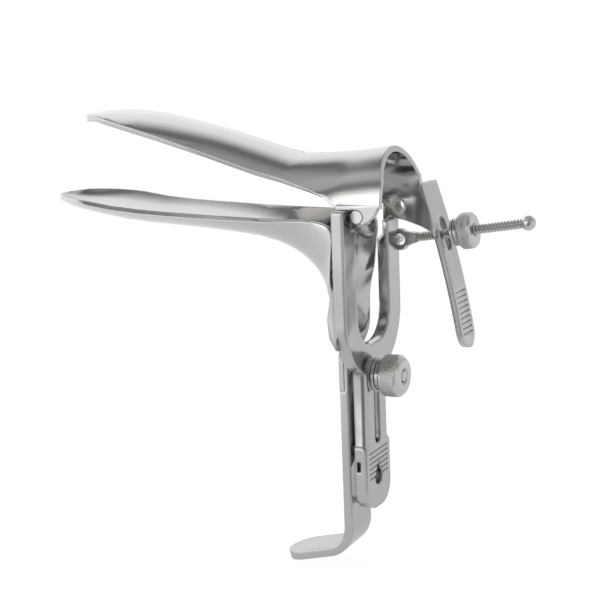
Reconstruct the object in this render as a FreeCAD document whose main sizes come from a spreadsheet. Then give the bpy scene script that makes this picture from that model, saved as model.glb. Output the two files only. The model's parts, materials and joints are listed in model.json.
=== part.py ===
"""A bivalve speculum: two trough blades, a slotted yoke with hinge lugs, and two clamping screws.

Millimetres. X runs from the blade tips back to the operator, Y from the near side to the far
side and Z up along the handle. The origin lies on the front face of the handle bar, where the
hand holds it, and the lower blade's rim lies rim_height above it.
"""

import FreeCAD, Part
import math
import os

import Sketcher

SIZES = (
    ("rim_height", 67.0, "lower blade's rim above the grip point"),
    ("blade_sheet", 1.6, "lower blade's sheet"),
    ("lower_reach", 101.6, "lower blade's tip ahead of the handle's front face"),
    ("lower_half", 17.5, "lower blade's half width"),
    ("lower_nose", 21.6, "length of the lower blade's rounded end"),
    ("nose_lift", 2.6, "lift of the lower rim towards the rounded end"),
    ("lower_rise", 3.5, "rise of the lower rim from the apron to the rounded end"),
    ("trough_depth", 5.9, "depth of the lower trough where the rounded end starts"),
    ("strip_turn", 9.0, "degrees that a strip of the sheet troughs turns by"),
    ("strip_length", 9.0, "longest strip of the sheet troughs"),
    ("bar_thick", 3.0, "handle bar's thickness"),
    ("bar_half", 7.1, "handle bar's half width"),
    ("bar_drop", 28.5, "start of the foot's bend below the grip point"),
    ("bend_inside", 7.5, "inside radius of the foot's bend"),
    ("bend_angle", 76.4, "degrees that the foot turns forward"),
    ("foot_run", 17.1, "straight part of the foot"),
    ("lap_length", 9.5, "half-lap of the apron's tongue and the bar"),
    ("stud_height", 19.2, "clamp stud above the grip point"),
    ("stud_dia", 3.9, "clamp stud's diameter"),
    ("yoke_stand", 6.2, "yoke's rear face behind the bar's rear face"),
    ("arm_depth", 3.6, "depth of the yoke's arms, front to rear"),
    ("opening_half", 12.3, "half width of the yoke's opening"),
    ("opening_drop", 38.0, "bottom of the yoke's opening below the lower rim"),
    ("opening_round", 10.0, "radius of the opening's lower corners"),
    ("fork_sweep", 19.5, "radius of the fork's sides where they meet the shank"),
    ("shank_half", 8.3, "half width of the slotted shank"),
    ("shank_depth", 4.0, "depth of the shank's channel section"),
    ("shank_web", 2.2, "thickness of the shank's web"),
    ("shank_lip", 1.7, "thickness of the shank's side lips"),
    ("shank_round", 1.8, "radius of the shank's rear corners"),
    ("slide_travel", 19.5, "length that the yoke slides up"),
    ("slot_gap", 0.2, "clearance between the stud and its slot"),
    ("slide_gap", 0.3, "clearance between the sliding guide block and the bar"),
    ("thumb_half", 8.8, "half width of the thumb plate"),
    ("thumb_length", 20.0, "length of the thumb plate below the slot"),
    ("guide_height", 6.2, "height of the guide block"),
    ("wall_drop", 2.0, "start of the thumb plate's side walls below the slot"),
    ("plate_left", 1.8, "thickness of the far arm's plate beside the ear"),
    ("plate_drop", 6.0, "far arm's full depth ends below the lower rim"),
    ("skirt_stand", 2.5, "side skirts of the yoke ahead of its arms"),
    ("skirt_gap", 0.5, "clearance between the skirts and the apron's edges"),
    ("hinge_rise", 2.3, "hinge axis above the lower rim"),
    ("hinge_back", 2.65, "hinge axis behind the yoke's rear face"),
    ("pin_dia", 3.9, "hinge pin's diameter"),
    ("pin_gap", 0.07, "clearance between a hinge pin and its ear"),
    ("lug_round", 3.2, "radius of the hinge lugs"),
    ("far_lug", 3.5, "thickness of the far lug"),
    ("ear_gap", 0.25, "clearance between an ear and its lug"),
    ("upper_sheet", 1.8, "upper blade's sheet"),
    ("upper_half", 17.2, "upper blade's half width"),
    ("upper_reach", 89.7, "upper blade's tip ahead of the handle's front face"),
    ("upper_nose", 18.0, "length of the upper blade's rounded end"),
    ("crease_reach", 12.8, "crease of the collar ahead of the handle's front face"),
    ("collar_rise", 19.8, "collar's crown at the crease above the lower rim"),
    ("crown_rise", 34.0, "upper blade's crown at its rounded end above the lower rim"),
    ("lever_wide", 11.5, "width of the thumb lever"),
    ("lever_thick", 2.0, "thickness of the thumb lever"),
    ("lever_drop", 45.0, "lever's lower end below the hinge axis"),
    ("lever_sweep", 19.9, "lever's lower end behind the hinge axis"),
    ("lever_top", 6.7, "lever's upper end above the hinge axis"),
    ("lever_back", 7.45, "lever's upper end behind the hinge axis"),
    ("groove_depth", 0.5, "depth of the thumb grooves"),
    ("groove_pitch", 1.6, "spacing of the thumb grooves"),
    ("lever_bow", 300.0, "radius of the lever's rear face"),
    ("rod_slot_high", 10.6, "height of the lever's slot for the rod"),
    ("rod_slot_wide", 4.4, "width of the lever's slot for the rod"),
    ("rod_drop", 11.5, "rod's pivot below the hinge axis"),
    ("rod_inset", 1.0, "rod's pivot ahead of the yoke's rear face"),
    ("rod_angle", 7.9, "degrees that the rod rises to the rear"),
    ("rod_dia", 3.1, "spreading rod's diameter"),
    ("rod_length", 41.8, "eye's centre to the ball's centre"),
    ("eye_dia", 7.0, "rod eye's outer diameter"),
    ("eye_bore", 3.8, "rod eye's hole"),
    ("eye_thick", 3.0, "rod eye's thickness"),
    ("eye_gap", 0.3, "clearance between the eye and the far arm"),
    ("pivot_dia", 1.8, "rod pivot pin's diameter"),
    ("pivot_head", 2.7, "diameter of the pivot pin's head"),
    ("pivot_gap", 0.05, "clearance between the pivot pin and the eye's hole"),
    ("ball_dia", 4.6, "ball's diameter"),
    ("washer_seat", 17.9, "eye's centre to the front of the rod's washer"),
    ("washer_dia", 8.7, "rod washer's diameter"),
    ("washer_thick", 0.8, "rod washer's thickness"),
    ("nut_neck_dia", 8.6, "neck of the spreading nut"),
    ("nut_neck", 1.5, "length of that neck"),
    ("nut_dia", 11.4, "grip of the spreading nut"),
    ("nut_length", 4.6, "length of that grip"),
    ("clamp_washer_dia", 10.3, "clamp washer's diameter"),
    ("clamp_washer_thick", 1.0, "clamp washer's thickness"),
    ("knob_neck_dia", 9.7, "neck of the clamp knob"),
    ("knob_neck", 1.7, "length of that neck"),
    ("knob_dia", 13.0, "grip of the clamp knob"),
    ("knob_length", 6.5, "length of that grip"),
    ("edge_break", 0.6, "bevel of the knurled grips"),
    ("thread_gap", 0.06, "clearance between a thread and what turns or slides on it"),
    ("seat_gap", 0.08, "clearance between stacked washers, nuts and the yoke"),
)


class Size:
    """A length, angle or count with both its value and the formula that the document keeps."""

    def __init__(self, number, formula):
        self.number = number
        self.formula = formula

    def __add__(self, other):
        return joined(self, "+", other, self.number + number(other))

    def __radd__(self, other):
        return joined(other, "+", self, number(other) + self.number)

    def __sub__(self, other):
        return joined(self, "-", other, self.number - number(other))

    def __rsub__(self, other):
        return joined(other, "-", self, number(other) - self.number)

    def __mul__(self, other):
        return joined(self, "*", other, self.number * number(other))

    def __rmul__(self, other):
        return joined(other, "*", self, number(other) * self.number)

    def __truediv__(self, other):
        return joined(self, "/", other, self.number / number(other))

    def __neg__(self):
        return Size(-self.number, "(-1 * %s)" % self.formula)


def number(value):
    return value.number if isinstance(value, Size) else float(value)


def formula(value):
    return value.formula if isinstance(value, Size) else repr(float(value))


def joined(left, sign, right, result):
    return Size(result, "(%s %s %s)" % (formula(left), sign, formula(right)))


def cosine(angle):
    return Size(math.cos(math.radians(angle.number)), "cos(%s)" % angle.formula)


def sine(angle):
    return Size(math.sin(math.radians(angle.number)), "sin(%s)" % angle.formula)


doc = FreeCAD.newDocument("bivalve_speculum")
sheet = doc.addObject("Spreadsheet::Sheet", "sizes")
for row, (alias, value, note) in enumerate(SIZES, start=1):
    sheet.set("A%d" % row, alias)
    sheet.set("B%d" % row, str(value))
    sheet.set("C%d" % row, note)
    sheet.setAlias("B%d" % row, alias)
doc.recompute()


class Sheet:
    """The driving dimensions by name."""

    def __getattr__(self, alias):
        return Size(float(sheet.get(alias)), "sizes.%s" % alias)


d = Sheet()
subparts = []

# Places that several pieces share.
rim = d.rim_height
bar_rear = d.bar_thick
yoke_rear = bar_rear + d.yoke_stand
yoke_front = yoke_rear - d.arm_depth
hinge_x = yoke_rear + d.hinge_back
hinge_z = rim + d.hinge_rise
pin_round = d.pin_dia / 2
ear_hole = pin_round + d.pin_gap
ear_inside = d.upper_half - d.upper_sheet
near_lug_out = ear_inside - d.ear_gap
far_lug_in = d.upper_half + d.ear_gap
arm_out = far_lug_in + d.far_lug
stud_round = d.stud_dia / 2
slot_half = stud_round + d.slot_gap
slot_bottom = d.stud_height - d.slide_travel - slot_half
lap_top = d.stud_height + d.lap_length / 2 + 0.5
lap_bottom = lap_top - d.lap_length
rod_y = arm_out + d.eye_gap + d.eye_thick / 2
pivot_x = yoke_rear - d.rod_inset
pivot_z = hinge_z - d.rod_drop
eye_shift = (d.eye_bore - d.pivot_dia) / 2 - d.pivot_gap
eye_x = pivot_x + eye_shift


def bind(piece, name, value):
    """Ties a property to its formula in the document."""
    setattr(piece, name, number(value))
    if isinstance(value, Size):
        piece.setExpression(name, value.formula)


def place(piece, x=0, y=0, z=0, axis=None, turn=0):
    """Puts a piece at x, y, z, turned by an angle about an axis."""
    if axis is not None:
        spin = FreeCAD.Rotation(FreeCAD.Vector(*axis), number(turn))
        piece.Placement = FreeCAD.Placement(FreeCAD.Vector(), spin)
        if isinstance(turn, Size):
            piece.setExpression("Placement.Rotation.Angle", turn.formula)
    for name, value in (("x", x), ("y", y), ("z", z)):
        base = piece.Placement.Base
        setattr(base, name, number(value))
        piece.Placement = FreeCAD.Placement(base, piece.Placement.Rotation)
        if isinstance(value, Size):
            piece.setExpression("Placement.Base." + name, value.formula)


def keep(piece, label):
    """Takes an object as the finished sub-part of that name."""
    piece.Label = label
    subparts.append(piece)
    return piece


def new_body(label):
    body = doc.addObject("PartDesign::Body", label)
    return keep(body, label)


def origin_plane(body, role):
    for feature in body.Origin.OriginFeatures:
        if feature.Role == role:
            return feature
    raise ValueError(role)


def fix_point(sketch, index, end, x, y):
    """Holds one point of a sketch at x, y."""
    at_x = sketch.addConstraint(Sketcher.Constraint("DistanceX", -1, 1, index, end, number(x)))
    if isinstance(x, Size):
        sketch.setExpression("Constraints[%d]" % at_x, x.formula)
    at_y = sketch.addConstraint(Sketcher.Constraint("DistanceY", -1, 1, index, end, number(y)))
    if isinstance(y, Size):
        sketch.setExpression("Constraints[%d]" % at_y, y.formula)


def arc_between(start, end, radius):
    """An arc of less than half a turn; a positive radius turns to the left."""
    chord = end - start
    half = chord.Length / 2
    size = abs(radius)
    rise = math.sqrt(max(size * size - half * half, 0.0))
    side = FreeCAD.Vector(-chord.y, chord.x, 0).normalize() * math.copysign(rise, radius)
    centre = start + chord / 2 + side
    circle = Part.Circle(centre, FreeCAD.Vector(0, 0, 1), size)
    first, last = (start, end) if radius > 0 else (end, start)
    return Part.ArcOfCircle(
        circle,
        math.atan2(first.y - centre.y, first.x - centre.x),
        math.atan2(last.y - centre.y, last.x - centre.x),
    )


def draw_loop(sketch, steps):
    """A closed outline. A step is (x, y), reached by a line, or (x, y, radius), reached by an arc."""
    corners = [FreeCAD.Vector(number(step[0]), number(step[1]), 0) for step in steps]
    edges = []
    for index, step in enumerate(steps):
        start = corners[index - 1]
        end = corners[index]
        if len(step) == 2:
            edges.append((sketch.addGeometry(Part.LineSegment(start, end), False), 1, 2))
            continue
        radius = number(step[2])
        arc = sketch.addGeometry(arc_between(start, end, radius), False)
        edges.append((arc, 1, 2) if radius > 0 else (arc, 2, 1))
    for index, step in enumerate(steps):
        edge, first, last = edges[index]
        after, after_first, _ = edges[(index + 1) % len(steps)]
        sketch.addConstraint(Sketcher.Constraint("Coincident", edge, last, after, after_first))
        fix_point(sketch, edge, last, step[0], step[1])
        if len(step) == 3:
            chord = corners[index] - corners[index - 1]
            if chord.Length / 2 > abs(number(step[2])) - 1e-6:
                axis = "DistanceY" if abs(chord.y) < 1e-9 else "DistanceX"
                value = step[1] if axis == "DistanceY" else step[0]
                row = Sketcher.Constraint(axis, -1, 1, edge, 3, number(value))
            else:
                value = step[2] if number(step[2]) > 0 else -step[2]
                row = Sketcher.Constraint("Radius", edge, number(value))
            at = sketch.addConstraint(row)
            if isinstance(value, Size):
                sketch.setExpression("Constraints[%d]" % at, value.formula)


def draw_circle(sketch, x, y, radius):
    centre = FreeCAD.Vector(number(x), number(y), 0)
    circle = Part.Circle(centre, FreeCAD.Vector(0, 0, 1), number(radius))
    index = sketch.addGeometry(circle, False)
    fix_point(sketch, index, 3, x, y)
    at = sketch.addConstraint(Sketcher.Constraint("Radius", index, number(radius)))
    if isinstance(radius, Size):
        sketch.setExpression("Constraints[%d]" % at, radius.formula)


def new_sketch(body, role, name, offset=0):
    """A sketch on one of the body's own planes, moved along the plane's normal."""
    sketch = body.newObject("Sketcher::SketchObject", name)
    sketch.AttachmentSupport = (origin_plane(body, role), [""])
    sketch.MapMode = "FlatFace"
    sketch.AttachmentOffset = FreeCAD.Placement(
        FreeCAD.Vector(0, 0, number(offset)), FreeCAD.Rotation()
    )
    if isinstance(offset, Size):
        sketch.setExpression("AttachmentOffset.Base.z", offset.formula)
    return sketch


def add_pad(body, sketch, length, both_ways=False):
    pad = body.newObject("PartDesign::Pad", sketch.Name + "_pad")
    pad.Profile = sketch
    bind(pad, "Length", length)
    pad.Midplane = both_ways
    doc.recompute()
    return pad


def add_pocket(body, sketch, length=None, both_ways=False, reverse=False):
    """A pocket that has to remove something."""
    before = body.Shape.Volume
    pocket = body.newObject("PartDesign::Pocket", sketch.Name + "_pocket")
    pocket.Profile = sketch
    if length is None:
        pocket.Type = "ThroughAll"
    else:
        bind(pocket, "Length", length)
    pocket.Midplane = both_ways
    pocket.Reversed = reverse
    doc.recompute()
    if body.Shape.Volume > before - 1e-3:
        raise RuntimeError("%s removes nothing" % pocket.Name)
    return pocket


def add_fillet(body, name, edges, radius):
    """Rounds the edges of the body's last feature whose middle point passes a test."""
    tip = body.Tip
    picked = []
    for index, edge in enumerate(tip.Shape.Edges, start=1):
        if edges(edge):
            picked.append("Edge%d" % index)
    if not picked:
        raise RuntimeError("%s finds no edge" % name)
    fillet = body.newObject("PartDesign::Fillet", name)
    fillet.Base = (tip, picked)
    bind(fillet, "Radius", radius)
    doc.recompute()
    return fillet


def middle(edge):
    return edge.valueAt((edge.FirstParameter + edge.LastParameter) / 2)


def turned(label, steps):
    """A turned piece about its own Z axis from its (radius, height) outline."""
    body = new_body(label)
    sketch = new_sketch(body, "XZ_Plane", label + "_half")
    draw_loop(sketch, steps)
    turn = body.newObject("PartDesign::Revolution", label + "_turn")
    turn.Profile = sketch
    turn.ReferenceAxis = (sketch, ["V_Axis"])
    turn.Angle = 360
    doc.recompute()
    return body


def along_x(body, x, y, z):
    place(body, x, y, z, (0, 1, 0), 90)


def along_rod(body, distance):
    """Puts a turned piece on the spreading rod, at a distance from the eye's centre."""
    place(
        body,
        eye_x + distance * cosine(d.rod_angle),
        rod_y,
        pivot_z + distance * sine(d.rod_angle),
        (0, 1, 0),
        90 - d.rod_angle,
    )


# Sheet troughs: a section is a band between two concentric arcs, in a plane that holds Y.


def band_section(rim_x, rim_z, spine_x, spine_z, half, sheet_thick):
    """The wire of one section from rim to rim through the spine of the outer face."""
    origin = FreeCAD.Vector(rim_x, 0, rim_z)
    down = FreeCAD.Vector(spine_x - rim_x, 0, spine_z - rim_z)
    depth = down.Length
    down.normalize()
    lean = 2 * math.atan((depth - sheet_thick) / half)
    drop = sheet_thick * math.cos(lean)
    sag = depth - drop
    radius = (half * half + sag * sag) / (2 * sag)
    centre = depth - radius
    inner = (radius - sheet_thick) / radius

    def at(side, along):
        return origin + FreeCAD.Vector(0, side, 0) + down * along

    def inward(side, along):
        return at(side * inner, centre + (along - centre) * inner)

    outer_arc = Part.Arc(at(-half, drop), at(0, depth), at(half, drop)).toShape()
    far_edge = Part.LineSegment(at(half, drop), inward(half, drop)).toShape()
    inner_arc = Part.Arc(inward(half, drop), inward(0, depth), inward(-half, drop)).toShape()
    near_edge = Part.LineSegment(inward(-half, drop), at(-half, drop)).toShape()
    return Part.Wire([outer_arc, far_edge, inner_arc, near_edge])


def trough(rows, thick):
    """A solid of short strips along a smooth run through its rows.

    A row is the rim's x and z, the spine's x and z and the half width of one section. A strip
    ends where the run has turned by strip_turn degrees or is longer than strip_length.
    """
    rims = [FreeCAD.Vector(row[0], row[1], row[4]) for row in rows]
    spines = [FreeCAD.Vector(row[2], row[3], 0) for row in rows]
    run = [0.0]
    for index in range(1, len(rows)):
        rim_step = (rims[index] - rims[index - 1]).Length
        spine_step = (spines[index] - spines[index - 1]).Length
        run.append(run[-1] + (rim_step + spine_step) / 2)
    rim_run = Part.BSplineCurve()
    rim_run.interpolate(Points=rims, Parameters=run)
    spine_run = Part.BSplineCurve()
    spine_run.interpolate(Points=spines, Parameters=run)
    most_turn = math.radians(d.strip_turn.number)
    samples = 240
    sections = [0.0]
    turned_by = 0.0
    ways = [curve.tangent(0.0)[0] for curve in (rim_run, spine_run)]
    for sample in range(1, samples):
        at = run[-1] * sample / samples
        before = ways
        ways = [curve.tangent(at)[0] for curve in (rim_run, spine_run)]
        turned_by += max(way.getAngle(old) for way, old in zip(ways, before))
        if turned_by > most_turn or at - sections[-1] > d.strip_length.number:
            sections.append(at)
            turned_by = 0.0
    sections.append(run[-1])
    wires = []
    for place_along in sections:
        rim_spot = rim_run.value(place_along)
        spine_spot = spine_run.value(place_along)
        wires.append(
            band_section(rim_spot.x, rim_spot.y, spine_spot.x, spine_spot.y, rim_spot.z, thick)
        )
    return Part.makeLoft(wires, True, True)


def side_prism(points, y_from, y_to):
    """A flat-sided block from its side outline of (x, z) points."""
    corners = [FreeCAD.Vector(x, y_from, z) for x, z in points]
    face = Part.Face(Part.makePolygon(corners + corners[:1]))
    return face.extrude(FreeCAD.Vector(0, y_to - y_from, 0))


def lower_blade():
    """The spoon, the corner that turns it down and the apron, ending in the lapped tongue."""
    base = rim.number
    thick = d.blade_sheet.number
    half = d.lower_half.number
    reach = d.lower_reach.number
    nose = d.lower_nose.number
    rise = d.lower_rise.number
    shallow = d.trough_depth.number
    lift = d.nose_lift.number
    root_x = -14.7
    root_z = 1.5
    nose_x = nose - reach
    rows = []

    def add(rim_x, rim_z, spine_x, spine_z, width):
        rows.append((rim_x, base + rim_z, spine_x, base + spine_z, width))

    def lifted(x):
        """How much the rim rises towards the rounded end."""
        run = max(nose_x + 0.65 * nose - x, 0.0)
        return lift * run**2 / (run**2 + (0.8 * nose) ** 2)

    least = thick + 0.15
    for turn in (5, 15, 28, 42, 58, 74):
        share = math.sin(math.radians(turn))
        x = -reach + nose * (1 - math.cos(math.radians(turn)))
        z = root_z + rise + 0.046 * (nose_x - x) + lifted(x)
        add(x, z, x, z - least - (shallow - least) * share, half * share)
    for share, depth in ((1.0, 0.2), (0.9, 0.2), (0.75, 0.1), (0.53, 0.2), (0.28, 0.9)):
        x = root_x + share * (nose_x - root_x)
        z = root_z + rise * share**1.35 + lifted(x)
        add(x, z, x, z - shallow - depth, half)
    tongue_edge = d.bar_half.number
    front = d.bar_thick.number
    add(root_x, root_z, -17.0, -8.2, half)
    add(-8.5, 1.4, -12.2, -10.8, half)
    add(-3.5, 1.2, -8.9, -13.4, half)
    add(0.6, 0.4, -7.0, -15.4, half)
    add(2.9, -0.9, -5.7, -17.1, half)
    add(front + 0.9, -3.4, -4.8, -18.6, half)
    add(front + 0.8, -7.0, -4.0, -20.2, half)
    add(front + 0.4, -12.0, -3.3, -22.2, half - 0.2)
    add(front + 0.1, -16.5, -2.7, -24.4, half - 0.9)
    neck = d.opening_half.number
    add(front + 0.05, -20.5, -2.3, -26.6, neck + 2.0)
    add(front, -25.0, -1.9, -29.0, neck + 0.2)
    add(front, -30.5, -1.3, -32.6, neck - 0.4)
    add(front, -35.0, -0.7, -35.8, neck - 1.5)
    add(2.4, -39.0, -0.2, -39.2, tongue_edge + 0.9)
    add(thick + 0.05, -41.5, 0.0, -41.5, tongue_edge)
    add(thick + 0.05, -42.6, 0.0, -42.6, tongue_edge)
    shell = trough(rows, thick)
    tongue = Part.makeBox(
        thick,
        2 * tongue_edge,
        base - 42.0 - lap_bottom.number,
        FreeCAD.Vector(0, -tongue_edge, lap_bottom.number),
    )
    hole = Part.makeCylinder(
        stud_round.number,
        4 * thick,
        FreeCAD.Vector(-thick, 0, d.stud_height.number),
        FreeCAD.Vector(1, 0, 0),
    )
    piece = doc.addObject("Part::Feature", "lower_blade")
    piece.Shape = shell.fuse(tongue).cut(hole).removeSplitter()
    place(piece)
    return keep(piece, "lower_blade")


def upper_blade():
    """The inverted trough, the collar behind its crease and the two ears."""
    base = rim.number
    thick = d.upper_sheet.number
    half = d.upper_half.number
    reach = d.upper_reach.number
    nose = d.upper_nose.number
    crown = d.crown_rise.number
    crease = d.collar_rise.number
    crease_x = -d.crease_reach.number
    axis_x = hinge_x.number
    axis_z = hinge_z.number - base

    def section(x, top, edge, width=half):
        return (x, base + edge, x, base + top, width)

    blade = []
    for turn, top, edge in (
        (5, -2.1, -4.15),
        (18, -1.3, -3.5),
        (32, -0.6, -2.9),
        (50, 0.0, -2.5),
        (70, 0.3, -2.6),
    ):
        share = math.sin(math.radians(turn))
        x = -reach + nose * (1 - math.cos(math.radians(turn)))
        blade.append(section(x, crown + top, crown + edge, half * share))
    nose_x = nose - reach
    drop = crown - crease
    for share, top, depth in (
        (1.0, 1.0, 4.3),
        (0.836, 0.915, 5.8),
        (0.632, 0.718, 6.6),
        (0.411, 0.486, 7.3),
        (0.207, 0.222, 7.5),
        (0.104, 0.1, 7.6),
        (0.0, 0.0, 7.7),
    ):
        x = crease_x + share * (nose_x - crease_x)
        z = crease + top * drop
        blade.append(section(x, z, z - depth))
    spoon = trough(blade, thick)
    rear_x = axis_x + 7.4
    collar = []
    for x, top, edge in (
        (crease_x, 0.0, crease - 7.7),
        (-8.0, 0.0, 10.7),
        (-3.0, 0.1, 9.0),
        (2.4, 0.3, 6.7),
        (5.6, 0.5, axis_z + 2.2),
        (axis_x, 1.2, axis_z + 2.2),
        (rear_x, 2.0, axis_z + 2.2),
    ):
        collar.append(section(x, crease + top, edge))
    ring = trough(collar, thick)
    hole = ear_hole.number
    inside = ear_inside.number
    top = base + axis_z + 4.0

    def at(x, z):
        return (axis_x + x, base + axis_z + z)

    def spot(x, z):
        return FreeCAD.Vector(axis_x + x, -half, base + axis_z + z)

    claw_end = math.radians(-65)
    claw_tip = (hole * math.cos(claw_end), hole * math.sin(claw_end))
    outline = [
        claw_tip,
        (1.9, -2.1),
        (3.9, -1.3),
        (5.9, 0.7),
        (7.1, 3.3),
        (-6.4, 3.3),
        (-6.4, hole),
        (0, hole),
    ]
    edges = []
    for start, end in zip(outline, outline[1:]):
        edges.append(Part.LineSegment(spot(*start), spot(*end)).toShape())
    edges.append(Part.Arc(spot(0, hole), spot(hole, 0), spot(*claw_tip)).toShape())
    near = Part.Face(Part.Wire(edges)).extrude(FreeCAD.Vector(0, half - inside, 0))
    lever_face = lever_rear_points([step / 18 for step in range(6)])
    far_points = [
        at(-6.4, 2.2),
        at(-3.45, -2.7),
        at(-2.1, -3.8),
        at(1.8, -4.6),
        at(7.1, -6.4),
        at(10.0, -7.9),
        at(11.6, -10.2),
    ]
    far_points += reversed(lever_face)
    far_points += [(axis_x - 6.4, top)]
    far = side_prism(far_points, inside, half)
    hole_start = FreeCAD.Vector(axis_x, inside - thick, base + axis_z)
    far_hole = Part.makeCylinder(hole, 4 * thick, hole_start, FreeCAD.Vector(0, 1, 0))
    far = far.cut(far_hole)
    lean = side_prism(
        [
            (rear_x + 0.2, base + 10.7),
            (rear_x - 3.0, base + crease + 4.0),
            (rear_x + 8.0, base + crease + 4.0),
            (rear_x + 8.0, base + 10.7),
        ],
        -2 * half,
        2 * half,
    )
    piece = doc.addObject("Part::Feature", "upper_blade")
    piece.Shape = spoon.fuse([ring, near, far]).cut(lean).removeSplitter()
    place(piece)
    return keep(piece, "upper_blade")


def lever_top_place():
    return (hinge_x + d.lever_back, hinge_z + d.lever_top)


def lever_tip_place():
    return (hinge_x + d.lever_sweep, hinge_z - d.lever_drop)


def lever_rear_points(shares):
    """Points on the rear face of the lever, at shares of the way from its upper to its lower end."""
    top = FreeCAD.Vector(*[number(value) for value in lever_top_place()], 0)
    tip = FreeCAD.Vector(*[number(value) for value in lever_tip_place()], 0)
    arc = arc_between(top, tip, -d.lever_bow.number).toShape()
    first = arc.FirstParameter
    last = arc.LastParameter
    points = [arc.valueAt(last + (first - last) * share) for share in shares]
    return [(point.x, point.y) for point in points]


def handle_bar():
    """The strip: half-lap at the top, straight run, bend and rounded foot."""
    body = new_body("handle_bar")
    thick = d.bar_thick
    bend_z = -d.bar_drop
    inside = d.bend_inside
    outside = inside + thick
    turn_cos = cosine(d.bend_angle)
    turn_sin = sine(d.bend_angle)
    side = new_sketch(body, "XZ_Plane", "bar_side")
    draw_loop(
        side,
        [
            (thick, lap_top),
            (d.blade_sheet, lap_top),
            (d.blade_sheet, lap_bottom),
            (0, lap_bottom),
            (0, bend_z),
            (-inside + inside * turn_cos, bend_z - inside * turn_sin, -inside),
            (
                -inside + inside * turn_cos - d.foot_run * turn_sin,
                bend_z - inside * turn_sin - d.foot_run * turn_cos,
            ),
            (
                -inside + outside * turn_cos - d.foot_run * turn_sin,
                bend_z - outside * turn_sin - d.foot_run * turn_cos,
            ),
            (-inside + outside * turn_cos, bend_z - outside * turn_sin),
            (thick, bend_z, outside),
        ],
    )
    add_pad(body, side, 2 * d.bar_half, both_ways=True)
    bore = new_sketch(body, "YZ_Plane", "bar_bore")
    draw_circle(bore, 0, d.stud_height, stud_round)
    add_pocket(body, bore, both_ways=True)
    foot_x = -inside.number + inside.number * turn_cos.number - d.foot_run.number * turn_sin.number

    def foot_corner(edge):
        spot = middle(edge)
        if spot.x > foot_x + thick.number / 2 or edge.Length > 1.5 * thick.number:
            return False
        across = abs(edge.tangentAt(edge.FirstParameter).y)
        return abs(abs(spot.y) - d.bar_half.number) < 0.01 and across < 0.01

    add_fillet(body, "foot_round", foot_corner, d.bar_half - 0.1)
    return body


def clamp_pieces():
    """The stud in the bar, and the washer and knob on it behind the yoke."""
    washer_front = yoke_rear + d.seat_gap
    knob_front = washer_front + d.clamp_washer_thick + d.seat_gap
    knob_rear = knob_front + d.knob_neck + d.knob_length
    stud = doc.addObject("Part::Cylinder", "clamp_stud")
    bind(stud, "Radius", stud_round)
    bind(stud, "Height", knob_rear)
    along_x(stud, 0, 0, d.stud_height)
    keep(stud, "clamp_stud")
    bore = stud_round + d.thread_gap
    washer = turned(
        "clamp_washer",
        [
            (bore, 0),
            (d.clamp_washer_dia / 2, 0),
            (d.clamp_washer_dia / 2, d.clamp_washer_thick),
            (bore, d.clamp_washer_thick),
        ],
    )
    along_x(washer, washer_front, 0, d.stud_height)
    length = d.knob_neck + d.knob_length
    knob = turned(
        "clamp_knob",
        [
            (bore, 0),
            (d.knob_neck_dia / 2, 0),
            (d.knob_neck_dia / 2, d.knob_neck),
            (d.knob_dia / 2, d.knob_neck),
            (d.knob_dia / 2, length - 2 * d.edge_break),
            (d.knob_dia / 2 - 2 * d.edge_break, length),
            (bore, length),
        ],
    )
    along_x(knob, knob_front, 0, d.stud_height)


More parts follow.
